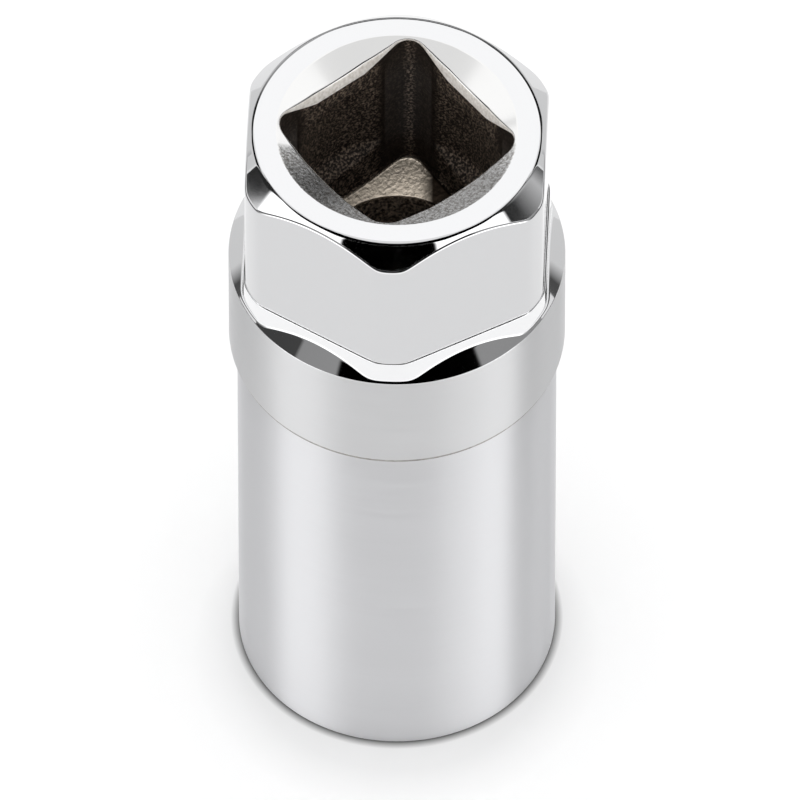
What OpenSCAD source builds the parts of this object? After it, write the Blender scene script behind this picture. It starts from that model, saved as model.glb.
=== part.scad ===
// Spark plug socket: a plated steel body with a square drive recess, a wrench
// hexagon, a raised collar and a plain barrel, and a rubber insert that grips
// the plug. Millimetres, +Z up, origin at the middle of the plug end's rim.

/* [Overall] */
// Length from the plug end to the drive end
length = 57; // [52:0.5:80]

/* [Barrel and collar] */
// Diameter of the plain barrel
barrel_d = 23; // [22.4:0.1:25]
// Radius on the outer edge of the plug end
rim_r = 0.6; // [0.2:0.1:1]
// How far the collar stands out of the barrel
collar_step = 0.6; // [0.3:0.05:1.5]
// Height of the collar's straight band
collar_h = 9.1; // [4:0.1:14]
// Size of the broken edge at the lower end of the band
collar_edge = 0.1; // [0.05:0.01:0.18]
// Height of the shoulder that runs from the round collar into the flats
shoulder_h = 2.1; // [1.5:0.1:4]
// Lean of the shoulder's turned slope, from upright
shoulder_deg = 43; // [30:1:55]

/* [Wrench hexagon] */
// Length of the hexagon, from the shoulder to the drive end
hex_l = 12; // [8:0.1:16]
// Distance across the flats
hex_af = 21.5; // [21:0.1:22.6]
// How far the turned corners lie inside the collar
corner_in = 0.36; // [0.2:0.01:0.6]
// Width of the narrow step that the flats end on
step_out = 0.08; // [0.04:0.01:0.1]
// Lean of the six faces below that step, from upright
step_deg = 5; // [3:1:12]
// Turn of the hexagon against the drive square
hex_turn = 49; // [0:1:60]
// How far the flat ring of the drive end lies inside the flats
face_in = 0.55; // [0.3:0.05:0.9]
// Slope of the chamfer round that ring, from level
chamfer_deg = 44; // [30:1:60]
// Radius on the edge between the ring and the chamfer
face_edge_r = 0.8; // [0.2:0.05:1]

/* [Drive square] */
// Distance across the walls of the square
drive_af = 12.8; // [12.6:0.05:13]
// Depth of the square below the drive end
drive_depth = 13.5; // [13:0.5:16]
// Radius in the corners of the square
drive_corner_r = 1.2; // [1:0.1:2.4]
// How far the dished mouth reaches past the corners of the square
mouth_out = 0.1; // [0.05:0.05:0.6]
// Slope of the dished mouth, from level
mouth_deg = 20; // [10:1:30]
// How far the top of each wall leans out
lead_in = 0.7; // [0.2:0.05:0.9]
// Depth at which that lean starts, below the drive end
lead_h = 1.5; // [1.2:0.1:2.6]
// Depth of the turned relief in the walls that catches the driver's ball
relief_t = 1.1; // [0.6:0.1:1.4]
// Depth of the top of the relief below the drive end
relief_top = 3; // [2.7:0.1:4]
// Height of the relief
relief_h = 8.5; // [5:0.5:9]
// Slope of the floor that falls to the through hole, from level
floor_deg = 15; // [5:1:30]

/* [Plug bore] */
// Distance across the flats of the plug hexagon
plug_af = 16.1; // [15.9:0.05:16.6]
// Depth of the plug hexagon
plug_depth = 14; // [11:0.5:15]
// Width of the step that stops the plug's hexagon
stop_step = 0.25; // [0.1:0.05:0.5]
// Size of the chamfer at the mouth of the plug hexagon
mouth_chamfer = 1; // [0.5:0.1:1.3]
// Thickness of the web between the bore and the drive square
web_t = 4.5; // [3:0.5:5]
// Diameter of the hole through the web
through_d = 10.5; // [9:0.1:11.5]

/* [Rubber insert] */
// Length of the insert
insert_l = 15; // [11:0.5:16]
// Gap between the plug hexagon and the insert
insert_gap = 2; // [1:0.5:3]
// Clearance round the insert
insert_play = 0.05; // [0.02:0.01:0.1]
// Diameter inside the gripping lips
lip_d = 9.8; // [9.2:0.1:10.4]
// Depth of the grooves between the lips
lip_depth = 0.7; // [0.4:0.1:1]
// Number of gripping lips
lip_count = 4; // [3:1:5]
// Height of the bead that holds the insert in its groove
bead_h = 2; // [1.5:0.1:3]
// How far the bead stands out of the insert
bead_t = 0.6; // [0.4:0.1:0.8]

/* [Hidden] */
$fn = 96;
// Overlap that carries a cut past the face it opens, or joins two forms
cut = 1;

// Turned outside, from the plug end up
barrel_r = barrel_d / 2;
collar_r = barrel_r + collar_step;
foot_z = length - hex_l;
collar_top = foot_z - shoulder_h;
collar_z = collar_top - collar_h;
corner_r = collar_r - corner_in;
face_r = hex_af / 2 - face_in;

// The turned slope ends inside the flats
slope_r = hex_af / 2 - step_out;
slope_z = collar_top + (collar_r - slope_r) / tan(shoulder_deg);
// The step falls half as far as it is wide, and its faces lean out down to the collar
step_z = foot_z - step_out / 2;
step_corner_r = corner_r + step_out / 2;
step_foot_out = step_out + shoulder_h * tan(step_deg);
slice_t = 0.02;

// Drive square, from the drive end down
drive_z = length - drive_depth;
drive_half = drive_af / 2;
drive_tip_r = drive_half * sqrt(2) - drive_corner_r * (sqrt(2) - 1);
mouth_r = drive_tip_r + mouth_out;
relief_r = drive_half + relief_t;

// Plug bore and the insert in it
plug_r = plug_af / 2 / cos(30);
bore_r = plug_af / 2 - stop_step;
bore_top = drive_z - web_t;
insert_z = plug_depth + insert_gap;
insert_r = bore_r - insert_play;
bead_z = insert_z + (insert_l - bead_h) / 2;

// Points of an arc about a centre, from one angle to another
function arc(centre, r, from, to, steps = 8) =
    [for (i = [0:steps]) let (a = from + (to - from) * i / steps)
        centre + r * [cos(a), sin(a)]];

// Sharp hexagon of the wrench flats
module hexagon(across) {
    rotate(hex_turn) circle(r = across / 2 / cos(30), $fn = 6);
}

// Thin slice of a hexagon with its corners turned down
module hexagon_slice(z, across, corner) {
    translate([0, 0, z - slice_t])
        linear_extrude(slice_t)
            intersection() {
                hexagon(across);
                circle(corner);
            }
}

// Square with round corners, its walls facing X and Y
module drive_outline() {
    inner = drive_half - drive_corner_r;
    square([drive_af, 2 * inner], center = true);
    square([2 * inner, drive_af], center = true);
    for (x = [-1, 1], y = [-1, 1])
        translate([x * inner, y * inner]) circle(drive_corner_r);
}

// Barrel, collar and the shoulder's slope, turned in one
module turned_body() {
    rotate_extrude() {
        square([barrel_r - rim_r, rim_r]);
        translate([barrel_r - rim_r, rim_r]) circle(rim_r);
        translate([0, rim_r]) square([barrel_r, collar_z + cut - rim_r]);
        polygon([[0, collar_z],
                 [collar_r - collar_edge, collar_z],
                 [collar_r, collar_z + collar_edge],
                 [collar_r, collar_top],
                 [slope_r, slope_z],
                 [0, slope_z]]);
    }
}

// Six-sided step under the flats, which the turned slope of the shoulder cuts off
module hexagon_step() {
    hull() {
        hexagon_slice(foot_z, hex_af, corner_r);
        hexagon_slice(step_z, hex_af + 2 * step_out, step_corner_r);
        hexagon_slice(collar_top, hex_af + 2 * step_foot_out, step_corner_r);
    }
}

// Neck with six flats, chamfered up to the flat ring of the drive end
module neck() {
    chamfer_h = (corner_r - face_r) * tan(chamfer_deg);
    edge_in = face_edge_r * tan(chamfer_deg / 2);
    edge = arc([face_r - edge_in, length - face_edge_r], face_edge_r, 90 - chamfer_deg, 90);
    intersection() {
        rotate_extrude()
            polygon(concat([[0, collar_z], [corner_r, collar_z], [corner_r, length - chamfer_h]],
                           edge,
                           [[0, length]]));
        translate([0, 0, collar_z]) linear_extrude(length) hexagon(hex_af);
    }
}

// Shallow dish round the mouth of the square
module drive_mouth() {
    mouth_h = mouth_r * tan(mouth_deg);
    translate([0, 0, length - mouth_h])
        cylinder(r1 = 0, r2 = mouth_r + cut / tan(mouth_deg), h = mouth_h + cut);
}

// Walls of the square leaning out towards the mouth, short of its corners
module drive_lead_in() {
    sharp_r = drive_half * sqrt(2);
    lean = lead_in * sqrt(2) * (lead_h + cut) / lead_h;
    intersection() {
        translate([0, 0, length - lead_h])
            rotate(45) cylinder(r1 = sharp_r, r2 = sharp_r + lean, h = lead_h + cut, $fn = 4);
        translate([0, 0, drive_z]) cylinder(r = drive_tip_r, h = drive_depth + cut);
    }
}

// Relief turned into the four walls, with sloped ends
module ball_relief() {
    top = length - relief_top;
    bottom = top - relief_h;
    rotate_extrude()
        polygon([[0, top], [drive_half, top], [relief_r, top - relief_t],
                 [relief_r, bottom + relief_t], [drive_half, bottom], [0, bottom]]);
}

// Drilled floor that falls from the corners of the square to the through hole
module drive_floor() {
    floor_h = (drive_tip_r - through_d / 2) * tan(floor_deg);
    intersection() {
        translate([0, 0, drive_z - floor_h])
            cylinder(d1 = through_d, r2 = drive_tip_r, h = floor_h);
        translate([0, 0, drive_z - floor_h - cut])
            linear_extrude(floor_h + 2 * cut) drive_outline();
    }
    translate([0, 0, bore_top - cut]) cylinder(d = through_d, h = web_t + 2 * cut);
}

module drive_recess() {
    drive_mouth();
    translate([0, 0, drive_z]) linear_extrude(drive_depth + cut) drive_outline();
    drive_lead_in();
    ball_relief();
    drive_floor();
}

// Plug hexagon with its mouth chamfer, round bore and the insert's groove
module plug_recess() {
    translate([0, 0, -cut]) linear_extrude(plug_depth + cut) circle(r = plug_r, $fn = 6);
    translate([0, 0, -cut])
        cylinder(r1 = plug_r + cut, r2 = plug_r - mouth_chamfer, h = mouth_chamfer + cut);
    cylinder(r = bore_r, h = bore_top);
    translate([0, 0, bead_z]) cylinder(r = bore_r + bead_t, h = bead_h);
}

module socket_body() {
    color("silver")
        difference() {
            union() {
                turned_body();
                hexagon_step();
                neck();
            }
            drive_recess();
            plug_recess();
        }
}

// Rubber sleeve with a bead outside and gripping lips inside
module rubber_insert() {
    insert_top = insert_z + insert_l;
    lip_r = lip_d / 2;
    root_r = lip_r + lip_depth;
    pitch = insert_l / lip_count;
    outside = [[insert_r, insert_top], [insert_r, bead_z + bead_h],
               [insert_r + bead_t, bead_z + bead_h], [insert_r + bead_t, bead_z],
               [insert_r, bead_z], [insert_r, insert_z]];
    lips = [for (i = [0:lip_count - 1]) let (z = insert_z + i * pitch)
                each [[root_r, z], [lip_r, z + pitch * 0.4], [lip_r, z + pitch * 0.6]]];
    color("dimgray")
        rotate_extrude() polygon(concat(outside, lips, [[root_r, insert_top]]));
}

socket_body();
rubber_insert();
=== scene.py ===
import math

import bpy
import numpy as np
from mathutils import Matrix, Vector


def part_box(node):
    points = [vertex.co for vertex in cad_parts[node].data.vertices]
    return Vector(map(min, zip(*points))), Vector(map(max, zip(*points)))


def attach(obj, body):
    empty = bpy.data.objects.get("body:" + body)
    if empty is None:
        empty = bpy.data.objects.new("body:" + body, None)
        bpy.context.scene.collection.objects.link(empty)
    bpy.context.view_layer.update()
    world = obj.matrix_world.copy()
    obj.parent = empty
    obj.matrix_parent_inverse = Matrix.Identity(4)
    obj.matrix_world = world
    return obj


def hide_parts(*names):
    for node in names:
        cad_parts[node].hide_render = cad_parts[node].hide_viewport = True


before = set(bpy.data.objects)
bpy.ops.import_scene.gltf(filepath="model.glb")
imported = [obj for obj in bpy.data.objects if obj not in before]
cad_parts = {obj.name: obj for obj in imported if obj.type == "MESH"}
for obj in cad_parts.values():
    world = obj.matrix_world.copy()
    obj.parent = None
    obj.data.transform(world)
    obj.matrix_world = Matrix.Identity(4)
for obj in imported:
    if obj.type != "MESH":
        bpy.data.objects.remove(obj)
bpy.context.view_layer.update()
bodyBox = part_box("socket_body")
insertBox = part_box("rubber_insert")
print("frame loaded:", sorted(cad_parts))

mm = 0.001
aroundCount = 540  # columns round the axis
around = np.arange(aroundCount) * 2 * math.pi / aroundCount


# outlines in polar form: the reach from the axis along each angle

def roundedPolygon(sides, flat, cornerR, turn):
    # flat / cos(angle off the nearest side's middle), and near a corner the far side of a circle of
    # cornerR whose middle lies on the corner's ray
    part = 2 * math.pi / sides
    off = np.abs((around - math.radians(turn) + part / 2) % part - part / 2)
    middle = (flat - cornerR) / math.cos(part / 2)
    aside = middle * np.sin(part / 2 - off)
    arc = middle * np.cos(part / 2 - off) + np.sqrt(np.maximum(cornerR ** 2 - aside ** 2, 0))
    straight = flat * np.tan(off) < (flat - cornerR) * math.tan(part / 2)
    return np.where(straight, flat / np.cos(off), arc)


def turnedHexagon(flat, corner, soft, turn):
    # the smaller of flat / cos(angle off the nearest flat's middle) and the corner's radius, joined
    # over about soft mm: corner - soft log(1 + exp((corner - reach) / soft))
    part = math.pi / 3
    off = (around - math.radians(turn) + part / 2) % part - part / 2
    return corner - soft * np.log(1 + np.exp((corner - flat / np.cos(off)) / soft))


# closed skins: a meridian of corners carried round the axis, each corner softened

def softenedMeridian(corners):
    # at each angle a corner P becomes the parabola (1-t)^2 A + 2t(1-t) P + t^2 B, where A and B lie
    # "soft" away along its two sides; one more row beyond A and B keeps the sides straight
    point = np.array([np.broadcast_arrays(c["r"], c["z"], around)[:2] for c in corners])
    ahead = np.roll(point, -1, 0) - point
    span = np.hypot(ahead[:, 0], ahead[:, 1])[:, None] + 1e-9
    ahead = ahead / span
    back, spanBack = -np.roll(ahead, 1, 0), np.roll(span, 1, 0)
    rows, finishes = [], []
    for k, c in enumerate(corners):
        reach = np.minimum(c["soft"], c.get("most", 0.36) * np.minimum(span[k], spanBack[k]))
        t = np.linspace(0, 1, c.get("steps", 4) + 1)[:, None, None]
        a, p, b = point[k] + back[k] * reach, point[k], point[k] + ahead[k] * reach
        curve = (1 - t) ** 2 * a + 2 * t * (1 - t) * p + t ** 2 * b
        guardA, guardB = point[k] + back[k] * reach * 1.3, point[k] + ahead[k] * reach * 1.3
        rows.append(np.concatenate([guardA[None], curve, guardB[None]]))
        half = (len(t) + 2) // 2
        finishes += [corners[k - 1]["finish"]] * half + [c["finish"]] * (len(t) + 2 - half)
    return np.concatenate(rows), np.array(finishes)


def skinPiece(name, corners, materials):
    # vertex (i, j) = (r cos a, r sin a, z) of row i at angle a; quads close both ways round
    rows, finishes = softenedMeridian(corners)
    count = len(rows)
    xyz = np.stack([rows[:, 0] * np.cos(around), rows[:, 0] * np.sin(around), rows[:, 1]], -1) * mm
    i, j = np.meshgrid(np.arange(count), np.arange(aroundCount), indexing="ij")
    iNext, jNext = (i + 1) % count, (j + 1) % aroundCount
    quads = np.stack([i * aroundCount + j, i * aroundCount + jNext,
                      iNext * aroundCount + jNext, iNext * aroundCount + j], -1).reshape(-1, 4)
    mesh = bpy.data.meshes.new(name)
    mesh.from_pydata(xyz.reshape(-1, 3), [], quads)
    for material in materials:
        mesh.materials.append(material)
    mesh.polygons.foreach_set("material_index", np.repeat(finishes, aroundCount).astype(np.int32))
    mesh.polygons.foreach_set("use_smooth", np.ones(len(quads), bool))
    mesh.update()
    piece = bpy.data.objects.new(name, mesh)
    bpy.context.scene.collection.objects.link(piece)
    print(name, "rows", count, "triangles", 2 * len(quads))
    return piece


# materials

def newMaterial(name):
    material = bpy.data.materials.new(name)
    material.use_nodes = True
    nodes, links = material.node_tree.nodes, material.node_tree.links
    shader = nodes["Principled BSDF"]
    coords = nodes.new("ShaderNodeTexCoord")
    return material, nodes, links, shader, coords.outputs["Object"]


def noise(nodes, links, coords, size, detail=3.0, stretch=(1, 1, 1)):
    # cloud noise with features about "size" mm wide
    mapping = nodes.new("ShaderNodeMapping")
    mapping.inputs["Scale"].default_value = stretch
    links.new(coords, mapping.inputs["Vector"])
    texture = nodes.new("ShaderNodeTexNoise")
    texture.inputs["Scale"].default_value = 1 / (size * mm)
    texture.inputs["Detail"].default_value = detail
    links.new(mapping.outputs["Vector"], texture.inputs["Vector"])
    return texture.outputs["Fac"]


def remap(nodes, links, value, low, high, fromLow=0.3, fromHigh=0.7):
    node = nodes.new("ShaderNodeMapRange")
    node.inputs["From Min"].default_value = fromLow
    node.inputs["From Max"].default_value = fromHigh
    node.inputs["To Min"].default_value = low
    node.inputs["To Max"].default_value = high
    links.new(value, node.inputs["Value"])
    return node.outputs["Result"]


def mixColour(nodes, links, value, low, high):
    node = nodes.new("ShaderNodeMix")
    node.data_type = "RGBA"
    node.inputs["A"].default_value = (*low, 1)
    node.inputs["B"].default_value = (*high, 1)
    links.new(value, node.inputs["Factor"])
    return node.outputs["Result"]


def bump(nodes, links, shader, height, depth, strength=1.0):
    # height 0 to 1 stands for "depth" mm
    node = nodes.new("ShaderNodeBump")
    node.inputs["Strength"].default_value = strength
    node.inputs["Distance"].default_value = depth * mm
    links.new(height, node.inputs["Height"])
    links.new(node.outputs["Normal"], shader.inputs["Normal"])


chromeLook = {"colour": (0.62, 0.622, 0.63), "polish": (0.03, 0.055)}
# the band under the flats is the same chrome in a lighter colour: a painted highlight
bandLook = {"colour": (0.84, 0.842, 0.85), "polish": (0.03, 0.055)}
# the barrel's chrome has a lighter colour than the polished chrome: painted light that brightens its
# blurred reflection
barrelLook = {"colour": (0.83, 0.832, 0.848), "edge": 0.6, "rough": 0.46, "stretch": 1.0}
collarLook = {"colour": (0.73, 0.732, 0.74), "edge": 0.7, "rough": 0.39, "stretch": 1.0}
dishLook = {"light": (0.64, 0.638, 0.635), "dark": (0.2, 0.18, 0.16), "rough": (0.1, 0.24), "grain": 0.2,
            "depth": 0.025, "span": (0.42, 0.74),
            # the side towards the camera darkens with dark specks: painted shade
            "shadedSide": {"along": (-0.625, -0.78, 0), "from": 1.1, "to": 2.2}}
wallLook = {"dark": (0.02, 0.0135, 0.0095), "light": (0.5, 0.39, 0.3), "rough": 0.55, "grain": 0.17,
            "depth": 0.04, "span": (0.46, 0.78),
            # fewer pale specks beside the corners paint shade on those strips
            "corner": ((0.02, 0.8), (0.35, 0.5), (0.7, 0.12), (2.6, 0.1), (3.4, 1.0))}
# the pale straw colour is a painted lit patch on the recess floor; elsewhere the floor is dark
floorSteelLook = {"dark": (0.03, 0.022, 0.016), "light": (0.98, 0.86, 0.71), "rough": 0.28,
                  "litPatchEnd": {"along": (0.78, -0.625, 0), "from": 2.6, "to": 1.6},
                  "rising": {"along": (0.78, -0.625, 0), "from": -7.5, "to": 0.6}}
holeLook = {"dark": (0.05, 0.035, 0.025), "light": (0.75, 0.6, 0.47), "rough": 0.45,
            "grain": 0.25, "depth": 0.05, "metal": 0.3, "span": (0.4, 0.75)}
wornLook = {"dark": (0.7, 0.65, 0.59), "light": (1.0, 0.96, 0.91), "rough": 0.45,
            "grain": 0.25, "depth": 0.03, "metal": 0.0, "span": (0.3, 0.7)}
# dark bare steel for the bore, also used under the collar as a painted shadow line
boreAndShadowLineLook = {"dark": (0.20, 0.18, 0.16), "light": (0.42, 0.40, 0.38), "rough": 0.4,
            "grain": 0.4, "depth": 0.02, "metal": 1.0, "span": (0.3, 0.7)}


def polishedChrome(name, look):
    material, nodes, links, shader, coords = newMaterial(name)
    shader.inputs["Metallic"].default_value = 1
    shader.inputs["Base Color"].default_value = (*look["colour"], 1)
    haze = noise(nodes, links, coords, 3.0)
    links.new(remap(nodes, links, haze, *look["polish"]), shader.inputs["Roughness"])
    return material


def turnedChrome(name, look):
    material, nodes, links, shader, coords = newMaterial(name)
    shader.inputs["Metallic"].default_value = 1
    shader.inputs["Base Color"].default_value = (*look["colour"], 1)
    shader.inputs["Specular Tint"].default_value = (look["edge"], look["edge"], look["edge"], 1)
    shader.inputs["Anisotropic"].default_value = look["stretch"]
    shader.inputs["Anisotropic Rotation"].default_value = 0.25  # turning marks run round the axis
    marks = noise(nodes, links, coords, 0.25, 2.0, (0.02, 0.02, 1))
    uneven = remap(nodes, links, marks, look["rough"] - 0.02, look["rough"] + 0.02)
    links.new(uneven, shader.inputs["Roughness"])
    return material


def bareSteel(name, look):
    material, nodes, links, shader, coords = newMaterial(name)
    shader.inputs["Metallic"].default_value = look["metal"]
    cloud = noise(nodes, links, coords, 1.6, 4.0)
    speck = noise(nodes, links, coords, look["grain"], 3.0)
    share = remap(nodes, links, speck, 0, 1, *look["span"])
    links.new(mixColour(nodes, links, share, look["dark"], look["light"]), shader.inputs["Base Color"])
    uneven = remap(nodes, links, cloud, look["rough"] - 0.06, look["rough"] + 0.08)
    links.new(uneven, shader.inputs["Roughness"])
    bump(nodes, links, shader, speck, look["depth"])
    return material


def multiply(nodes, links, one, other):
    node = nodes.new("ShaderNodeMath")
    node.operation = "MULTIPLY"
    links.new(one, node.inputs[0])
    links.new(other, node.inputs[1])
    return node.outputs["Value"]


def along(nodes, links, coords, line):
    # millimetres from the axis along a level line, as 0 at line["from"] to 1 at line["to"]
    node = nodes.new("ShaderNodeVectorMath")
    node.operation = "DOT_PRODUCT"
    node.inputs[1].default_value = line["along"]
    links.new(coords, node.inputs[0])
    return remap(nodes, links, node.outputs["Value"], 0, 1, line["from"] * mm, line["to"] * mm)


def strawFloor(look):
    material, nodes, links, shader, coords = newMaterial("straw_steel_painted_light")
    shader.inputs["Metallic"].default_value = 1
    shader.inputs["Roughness"].default_value = look["rough"]
    speck = noise(nodes, links, coords, 0.3, 3.0)
    # painted light: along one level direction the pale colour rises from -7.5 to 0.6 mm and is cut off
    # between 1.6 and 2.6 mm; dark steel elsewhere
    share = multiply(nodes, links, along(nodes, links, coords, look["litPatchEnd"]),
                     along(nodes, links, coords, look["rising"]))
    share = multiply(nodes, links, share, remap(nodes, links, speck, 0.75, 1))
    links.new(mixColour(nodes, links, share, look["dark"], look["light"]), shader.inputs["Base Color"])
    bump(nodes, links, shader, speck, 0.03)
    return material


def dishedSteel(look):
    # bright and smooth at the back; towards the camera's side rougher and bumped with pits, and darkened
    # with dark specks, which are painted shade
    material, nodes, links, shader, coords = newMaterial("dished_steel")
    shader.inputs["Metallic"].default_value = 1
    share = along(nodes, links, coords, look["shadedSide"])
    speck, cloud = noise(nodes, links, coords, look["grain"], 3.0), noise(nodes, links, coords, 2.5, 2.0)
    shadedPits = multiply(nodes, links, share, remap(nodes, links, speck, 0, 1, *look["span"]))
    links.new(mixColour(nodes, links, shadedPits, look["light"], look["dark"]), shader.inputs["Base Color"])
    links.new(remap(nodes, links, share, *look["rough"], 0, 1), shader.inputs["Roughness"])
    pitDepth = multiply(nodes, links, multiply(nodes, links, speck, cloud), share)
    bump(nodes, links, shader, pitDepth, look["depth"])
    return material


def speckledWalls(look):
    # pale specks on dark steel, fewer in strips beside the corners, where |x| and |y| come close: painted
    # shade on those strips
    material, nodes, links, shader, coords = newMaterial("recess_steel")
    shader.inputs["Metallic"].default_value = 0.3
    shader.inputs["Roughness"].default_value = look["rough"]
    split = nodes.new("ShaderNodeSeparateXYZ")
    links.new(coords, split.inputs["Vector"])
    apart = nodes.new("ShaderNodeMath")
    apart.operation = "SUBTRACT"
    for axis, socket in zip("XY", apart.inputs):
        size = nodes.new("ShaderNodeMath")
        size.operation = "ABSOLUTE"
        links.new(split.outputs[axis], size.inputs[0])
        links.new(size.outputs["Value"], socket)
    off = nodes.new("ShaderNodeMath")
    off.operation = "ABSOLUTE"
    links.new(apart.outputs["Value"], off.inputs[0])
    ramp = nodes.new("ShaderNodeValToRGB")
    links.new(remap(nodes, links, off.outputs["Value"], 0, 1, 0, 5 * mm), ramp.inputs["Fac"])
    for place, value in look["corner"]:
        stop = ramp.color_ramp.elements.new(place / 5)
        stop.color = (value, value, value, 1)
    speck = noise(nodes, links, coords, look["grain"], 4.0)
    share = multiply(nodes, links, ramp.outputs["Color"], remap(nodes, links, speck, 0, 1, *look["span"]))
    links.new(mixColour(nodes, links, share, look["dark"], look["light"]), shader.inputs["Base Color"])
    bump(nodes, links, shader, speck, look["depth"])
    return material


def moulded(name, colour, roughness):
    material, nodes, links, shader, coords = newMaterial(name)
    shader.inputs["Base Color"].default_value = (*colour, 1)
    skin = noise(nodes, links, coords, 0.5, 4.0)
    links.new(remap(nodes, links, skin, roughness - 0.05, roughness + 0.1), shader.inputs["Roughness"])
    bump(nodes, links, shader, skin, 0.01)
    return material


# socket body

body = {
    "length": bodyBox[1].z / mm,
    "collarR": bodyBox[1].x / mm,
    "barrelR": 11.5, "rimR": 0.2,
    "collarZ": 33.8, "collarTop": 42.9, "edgeIn": 0.1, "edgeH": 0.3,
    "slopeDeg": 43, "slopeSoft": 0.1,  # lean of the turned shoulder
    "hexFlat": 10.73, "hexCorner": 11.86, "hexSoft": 0.11, "hexTurn": 19,
    "footZ": 45.0, "stepOut": 0.12, "stepDeg": 5,  # narrow step where the flats end
    "faceR": 10.3, "chamferDeg": 46, "faceEdge": 0.28,
    "mouthR": 8.654, "mouthDeg": 20,
    "driveHalf": 6.4, "driveCornerR": 1.5, "leadIn": 0.2, "leadH": 1.5, "leadLow": 0.12, "leadSpread": 1.6,
    "reliefR": 7.5, "reliefTop": 3.0, "reliefH": 8.5,
    "driveDepth": 13.5, "floorDeg": 15, "throughR": 5.25, "webBottom": 39.0,
    "boreR": 7.8, "grooveZ": 22.5, "grooveH": 2.0, "grooveT": 0.6,
    "plugFlat": 8.05, "plugDepth": 14.0, "plugCornerR": 0.2, "plugMouthR": 9.595,
}
polished, bright, satinAndPaintedLight, brushed, dish, worn, recess, floor, hole, boreAndShadowLine = range(10)


def slope(degrees):
    return math.tan(math.radians(degrees))


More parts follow.
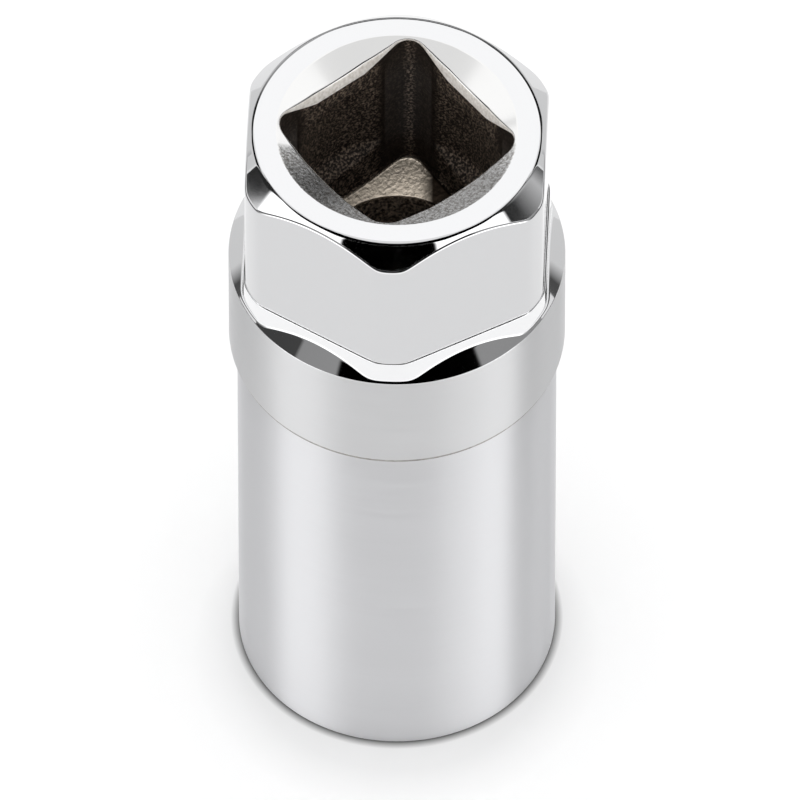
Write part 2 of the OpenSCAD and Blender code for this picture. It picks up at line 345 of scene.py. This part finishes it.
def bodyCorners(b):
    top = b["length"]
    hexagon = turnedHexagon(b["hexFlat"], b["hexCorner"], b["hexSoft"], b["hexTurn"])
    chamferZ = top - (hexagon - b["faceR"]) * slope(b["chamferDeg"])
    stepCorner = b["hexCorner"] + b["stepOut"] / 2
    step = turnedHexagon(b["hexFlat"] + b["stepOut"], stepCorner, b["hexSoft"], b["hexTurn"])
    stepZ = b["footZ"] - b["stepOut"] / 2
    # the faces under the step lean out until they meet the turned slope, higher on a flat than at a
    # corner, and the two heights join over about slopeSoft mm
    lean, fall = slope(b["stepDeg"]) * step / (b["hexFlat"] + b["stepOut"]), slope(b["slopeDeg"])
    flatZ = (b["collarR"] + fall * b["collarTop"] - step - lean * stepZ) / (fall - lean)
    cornerZ = b["collarTop"] + (b["collarR"] - stepCorner) / fall
    slopeZ = cornerZ + b["slopeSoft"] * np.log(1 + np.exp((flatZ - cornerZ) / b["slopeSoft"]))
    slopeR = b["collarR"] - fall * (slopeZ - b["collarTop"])
    square = roundedPolygon(4, b["driveHalf"], b["driveCornerR"], 0)
    tip = square.max()
    # the walls lean out fully at their middles and not at all in the corners
    wear = np.clip(np.cos(2 * around) ** 2 * b["leadSpread"], 0, 1)
    lead = square + b["leadIn"] * wear
    leadZ = top - (b["mouthR"] - lead) * slope(b["mouthDeg"])
    cornerLeadZ = leadZ - b["leadLow"]
    wearZ = cornerLeadZ - (cornerLeadZ - top + b["leadH"]) * wear
    relief = np.maximum(square, b["reliefR"])
    depthHere = np.clip(square, b["driveHalf"], b["reliefR"]) - b["driveHalf"]
    reliefT = b["reliefR"] - b["driveHalf"]
    reliefTop, reliefBottom = top - b["reliefTop"], top - b["reliefTop"] - b["reliefH"]
    floorZ = top - b["driveDepth"] - (tip - square) * slope(b["floorDeg"])
    holeZ = top - b["driveDepth"] - (tip - b["throughR"]) * slope(b["floorDeg"])
    plug = roundedPolygon(6, b["plugFlat"], b["plugCornerR"], 30)
    return [
        {"r": b["barrelR"], "z": 0, "soft": b["rimR"], "steps": 6, "finish": satinAndPaintedLight},
        # the collar's underside and lower edge take the dark bore steel: a painted shadow line under the
        # collar
        {"r": b["barrelR"], "z": b["collarZ"], "soft": 0.04, "steps": 2, "finish": boreAndShadowLine},
        {"r": b["collarR"] - b["edgeIn"], "z": b["collarZ"], "soft": 0.02, "steps": 2, "finish": boreAndShadowLine},
        {"r": b["collarR"], "z": b["collarZ"] + b["edgeH"], "soft": 0.03, "steps": 2, "finish": brushed},
        {"r": b["collarR"], "z": b["collarTop"], "soft": 0.05, "finish": polished},
        # from here to the step, the band under the flats takes the lighter chrome, a painted highlight
        {"r": slopeR, "z": slopeZ, "soft": 0.2, "steps": 8, "finish": bright},
        {"r": step, "z": stepZ, "soft": 0.04, "steps": 3, "finish": polished},
        {"r": hexagon, "z": b["footZ"], "soft": 0.04, "steps": 3, "finish": polished},
        {"r": hexagon, "z": chamferZ, "soft": 0.18, "steps": 8, "finish": polished},
        {"r": b["faceR"], "z": top, "soft": b["faceEdge"], "steps": 8, "finish": polished},
        {"r": b["mouthR"], "z": top, "soft": 0.08, "finish": dish},
        {"r": lead, "z": leadZ, "soft": 0.15, "finish": worn},
        {"r": square, "z": wearZ, "soft": 0.2, "steps": 3, "finish": recess},
        {"r": square, "z": reliefTop - depthHere, "soft": 0.15, "steps": 3, "finish": recess},
        {"r": relief, "z": reliefTop - reliefT, "soft": 0.4, "steps": 3, "finish": recess},
        {"r": relief, "z": reliefBottom + reliefT, "soft": 0.4, "steps": 3, "finish": recess},
        {"r": square, "z": reliefBottom + depthHere, "soft": 0.15, "steps": 3, "finish": recess},
        {"r": square, "z": floorZ, "soft": 0.3, "steps": 3, "finish": floor},
        {"r": b["throughR"], "z": holeZ, "soft": 0.15, "steps": 3, "finish": hole},
        {"r": b["throughR"], "z": b["webBottom"], "soft": 0.15, "steps": 2, "finish": boreAndShadowLine},
        {"r": b["boreR"], "z": b["webBottom"], "soft": 0.3, "steps": 2, "finish": boreAndShadowLine},
        {"r": b["boreR"], "z": b["grooveZ"] + b["grooveH"], "soft": 0.05, "steps": 1, "finish": boreAndShadowLine},
        {"r": b["boreR"] + b["grooveT"], "z": b["grooveZ"] + b["grooveH"], "soft": 0.05, "steps": 1,
         "finish": boreAndShadowLine},
        {"r": b["boreR"] + b["grooveT"], "z": b["grooveZ"], "soft": 0.05, "steps": 1, "finish": boreAndShadowLine},
        {"r": b["boreR"], "z": b["grooveZ"], "soft": 0.05, "steps": 1, "finish": boreAndShadowLine},
        {"r": b["boreR"], "z": b["plugDepth"], "soft": 0.06, "steps": 2, "finish": boreAndShadowLine},
        {"r": plug, "z": b["plugDepth"], "soft": 0.1, "steps": 2, "finish": boreAndShadowLine},
        {"r": plug, "z": b["plugMouthR"] - plug, "soft": 0.1, "steps": 2, "finish": boreAndShadowLine},
        {"r": b["plugMouthR"], "z": 0, "soft": 0.12, "steps": 2, "finish": polished},
    ]


socketFinishes = [polishedChrome("polished_chrome", chromeLook), polishedChrome("chrome_painted_highlight", bandLook),
                  turnedChrome("satin_chrome_painted_light", barrelLook), turnedChrome("brushed_chrome", collarLook),
                  dishedSteel(dishLook), bareSteel("worn_steel", wornLook), speckledWalls(wallLook),
                  strawFloor(floorSteelLook), bareSteel("hole_steel", holeLook),
                  bareSteel("bore_steel_and_shadow_line", boreAndShadowLineLook)]
socketPiece = skinPiece("plated_socket", bodyCorners(body), socketFinishes)
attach(socketPiece, "root")
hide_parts("socket_body")


# rubber insert

insert = {
    "bottom": insertBox[0].z / mm, "top": insertBox[1].z / mm,
    "beadR": insertBox[1].x / mm, "wallR": 7.75,
    "beadZ": 22.5, "beadH": 2.0, "lipR": 4.9, "lipDepth": 0.7, "lipCount": 4,
}


def insertCorners(s):
    pitch = (s["top"] - s["bottom"]) / s["lipCount"]
    root = s["lipR"] + s["lipDepth"]
    corners = [
        {"r": s["wallR"], "z": s["bottom"], "soft": 0.3, "finish": 0},
        {"r": s["wallR"], "z": s["beadZ"], "soft": 0.1, "finish": 0},
        {"r": s["beadR"], "z": s["beadZ"], "soft": 0.25, "finish": 0},
        {"r": s["beadR"], "z": s["beadZ"] + s["beadH"], "soft": 0.25, "finish": 0},
        {"r": s["wallR"], "z": s["beadZ"] + s["beadH"], "soft": 0.1, "finish": 0},
        {"r": s["wallR"], "z": s["top"], "soft": 0.3, "finish": 0},
        {"r": root, "z": s["top"], "soft": 0.3, "finish": 0},
    ]
    for k in reversed(range(s["lipCount"])):
        low = s["bottom"] + k * pitch
        corners += [{"r": s["lipR"], "z": low + pitch * 0.6, "soft": 0.25, "finish": 0},
                    {"r": s["lipR"], "z": low + pitch * 0.4, "soft": 0.25, "finish": 0},
                    {"r": root, "z": low, "soft": 0.3, "finish": 0}]
    return corners


insertPiece = skinPiece("rubber_sleeve", insertCorners(insert),
                        [moulded("black_rubber", (0.02, 0.02, 0.021), 0.5)])
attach(insertPiece, "root")
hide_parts("rubber_insert")


# camera, at the photo's angle

view = {"azimuth": -38.7, "elevation": 52.0, "distance": 2.4, "pxPerMm": 13.85,
        "aimZ": 25.65, "aimRight": 0.22}
imageSize = 800
a, e = math.radians(view["azimuth"]), math.radians(view["elevation"])
back = np.array([math.sin(a) * math.cos(e), -math.cos(a) * math.cos(e), math.sin(e)])
right = np.array([math.cos(a), math.sin(a), 0])
aim = np.array([0, 0, view["aimZ"] * mm]) + right * view["aimRight"] * mm
cameraData = bpy.data.cameras.new("camera")
cameraData.sensor_width = 36
cameraData.lens = 36 * view["distance"] * view["pxPerMm"] / mm / imageSize
cameraData.clip_start, cameraData.clip_end = 0.1, 20
camera = bpy.data.objects.new("camera", cameraData)
place = np.eye(4)
place[:3] = np.stack([right, np.cross(back, right), back, aim + back * view["distance"]], 1)
camera.matrix_world = Matrix(place.tolist())
bpy.context.scene.collection.objects.link(camera)
bpy.context.scene.camera = camera
print("camera set")


# studio: a pale floor in an even pale room, and cards that only shiny surfaces see

# the last three values paint a contact shadow, a dark ring on the floor round the foot
floorLook = {"radius": 3.0, "colour": 0.9, "glow": 0.1, "shade": 3, "shadeIn": 11, "shadeOut": 15,
             "contactShadow": 0.18, "contactShadowIn": 11.45, "contactShadowOut": 12.1}
roomLight = 1.12
cardReach = 0.2  # metres from the middle of the room to every card
cardEye = 45  # height of that middle in mm
# each card's turn from the camera's side to the right, its lower and upper rise over the horizon, in
# degrees, and its light, all at the same stops
cards = [
    {"name": "low_card", "low": -12, "high": 8,
     "turn": (-180, -165, -150, -118, -110, -84, -77, -65, -44, -39, -25, 20, 30, 37, 45, 52, 66, 73, 80,
              110, 118, 150, 165, 180),
     "light": (0, 0, 0.9, 0.9, 0.1, 0.2, 0.5, 2.4, 2.4, 1.75, 1.6, 1.6, 1.85, 2.1, 2.3, 2.45, 2.45, 0.8,
               0.2, 0.1, 0.9, 0.9, 0, 0)},
    {"name": "shoulder_card", "turn": (-88, -61, -59, -36, -34, 0, 26, 48.5, 50.5, 91),
     "low": (9, 11, 11, 12, 12, 12, 12, 12, 11, 9),
     "high": (18.8, 27.8, 28.4, 32.8, 33.2, 35.8, 34.3, 31, 30.5, 18),
     "light": (0.07, 0.08, 0.38, 0.4, 0.0, 0.0, 0.0, 0.0, 0.4, 0.4)},
    {"name": "chamfer_card", "turn": (-108, -92, -90, -60, -38, -36, 0, 25, 27, 50, 73, 75, 82, 100, 108),
     "low": (11, 18.6, 19, 28.5, 33, 33.4, 36, 34.5, 34.5, 31.2, 24.6, 24.3, 21.8, 14.2, 11), "high": 43.8,
     "light": (0.03, 0.03, 2.0, 2.0, 2.0, 0.0, 0.0, 0.0, 2.0, 2.0, 2.0, 0.03, 0.05, 0.7, 0.1)},
    {"name": "canopy_card", "turn": (-118, -96, -90, 90, 96, 118), "low": 44,
     "high": (46, 56, 74, 74, 56, 46), "light": 0.0},
    {"name": "far_low_card", "low": 8.2, "high": 17,
     "turn": (109, 125, 133, 160, 170, 190, 200, 210, 227, 235, 251),
     "light": (0.9, 0.9, 0.03, 0.1, 0.9, 1.1, 1.0, 0.4, 0.03, 0.9, 0.9)},
    {"name": "far_high_card", "turn": (109, 138, 144, 150, 185, 195, 210, 216, 222, 251), "low": 17.2,
     "high": (36, 34, 35, 35, 33, 33, 35, 35, 34, 36), "light": (0, 0, 0, 0, 0, 0.4, 0.35, 0, 0, 0)},
    {"name": "rear_box", "turn": (142, 218), "low": 35.5, "high": 75, "light": 1.5},
    {"name": "left_box", "turn": (218.5, 241), "low": 44.5, "high": 72, "light": 1.5},
    {"name": "right_box", "turn": (119, 141.5), "low": 44.5, "high": 72, "light": 1.5},
]


def gridPiece(name, xyz):
    # quads between neighbouring points of a grid of points
    rows, columns = xyz.shape[:2]
    i, j = np.meshgrid(np.arange(rows - 1), np.arange(columns - 1), indexing="ij")
    corner = i * columns + j
    quads = np.stack([corner, corner + 1, corner + columns + 1, corner + columns], -1).reshape(-1, 4)
    mesh = bpy.data.meshes.new(name)
    mesh.from_pydata(xyz.reshape(-1, 3), [], quads)
    piece = bpy.data.objects.new(name, mesh)
    bpy.context.scene.collection.objects.link(piece)
    return piece


def addValues(nodes, links, one, other):
    node = nodes.new("ShaderNodeMath")
    node.operation = "ADD"
    links.new(one, node.inputs[0])
    links.new(other, node.inputs[1])
    return node.outputs["Value"]


def paleFloor(look):
    # a flat square grid, a little brighter to the eye than its light alone makes it
    line = np.linspace(-look["radius"], look["radius"], 9)
    x, y = np.meshgrid(line, line)
    floor = gridPiece("floor", np.stack([x, y, np.zeros_like(x)], -1))
    material, nodes, links, shader, coords = newMaterial("pale_floor")
    # pale all over, with a painted contact shadow: dark in a narrow ring round the foot
    reach = nodes.new("ShaderNodeVectorMath")
    reach.operation = "LENGTH"
    links.new(coords, reach.inputs[0])
    pale = remap(nodes, links, reach.outputs["Value"], look["contactShadow"], look["colour"],
                 look["contactShadowIn"] * mm, look["contactShadowOut"] * mm)
    links.new(pale, shader.inputs["Base Color"])
    shader.inputs["Roughness"].default_value = 0.9
    shader.inputs["Specular IOR Level"].default_value = 0
    shader.inputs["Emission Color"].default_value = (1, 1, 1, 1)
    path = nodes.new("ShaderNodeLightPath")
    seen = addValues(nodes, links, path.outputs["Is Camera Ray"], path.outputs["Is Glossy Ray"])
    seen = addValues(nodes, links, seen, path.outputs["Is Transmission Ray"])
    # the glow leaves out the ground at the foot of the object, on the camera's side, so a painted shadow
    # stays darker there
    toCamera = back / math.hypot(back[0], back[1]) * look["shade"] * mm
    away = nodes.new("ShaderNodeVectorMath")
    away.operation = "DISTANCE"
    away.inputs[1].default_value = (toCamera[0], toCamera[1], 0)
    links.new(coords, away.inputs[0])
    glow = remap(nodes, links, away.outputs["Value"], 0, look["glow"],
                 look["shadeIn"] * mm, look["shadeOut"] * mm)
    links.new(multiply(nodes, links, seen, glow), shader.inputs["Emission Strength"])
    floor.data.materials.append(material)
    return floor


def roomCard(card):
    # part of a sphere: eye + reach (cos rise cos turn, cos rise sin turn, sin rise), turned from the
    # camera's side
    degrees = np.linspace(card["turn"][0], card["turn"][-1], 361)
    low, high, light = (np.interp(degrees, card["turn"], np.broadcast_to(card[key], len(card["turn"])))
                        for key in ("low", "high", "light"))
    turn = np.radians(degrees)[None, :, None]
    rise = np.radians(low + (high - low) * np.linspace(0, 1, 9)[:, None])[:, :, None]
    level = np.array([back[0], back[1], 0]) / math.hypot(back[0], back[1])
    outward = np.cos(turn) * level + np.sin(turn) * right
    reach = np.cos(rise) * outward + np.sin(rise) * np.array([0, 0, 1])
    piece = gridPiece(card["name"], np.array([0, 0, cardEye * mm]) + cardReach * reach)
    glowing = piece.data.attributes.new("glow", "FLOAT", "POINT")
    glowing.data.foreach_set("value", np.tile(light, 9).astype(np.float32))
    material = bpy.data.materials.new(card["name"])
    material.use_nodes = True
    nodes, links = material.node_tree.nodes, material.node_tree.links
    value = nodes.new("ShaderNodeAttribute")
    value.attribute_name = "glow"
    glow = nodes.new("ShaderNodeEmission")
    links.new(value.outputs["Fac"], glow.inputs["Strength"])
    links.new(glow.outputs["Emission"], nodes["Material Output"].inputs["Surface"])
    piece.data.materials.append(material)
    for ray in ("camera", "diffuse", "shadow", "transmission", "volume_scatter"):
        setattr(piece, "visible_" + ray, False)
    return piece


def evenRoom():
    world = bpy.data.worlds.new("room")
    world.use_nodes = True
    background = world.node_tree.nodes["Background"]
    background.inputs["Color"].default_value = (1, 1, 1, 1)
    background.inputs["Strength"].default_value = roomLight
    bpy.context.scene.world = world


evenRoom()
paleFloor(floorLook)
for card in cards:
    roomCard(card)
bpy.context.scene.view_settings.view_transform = "Standard"
print("studio lit")
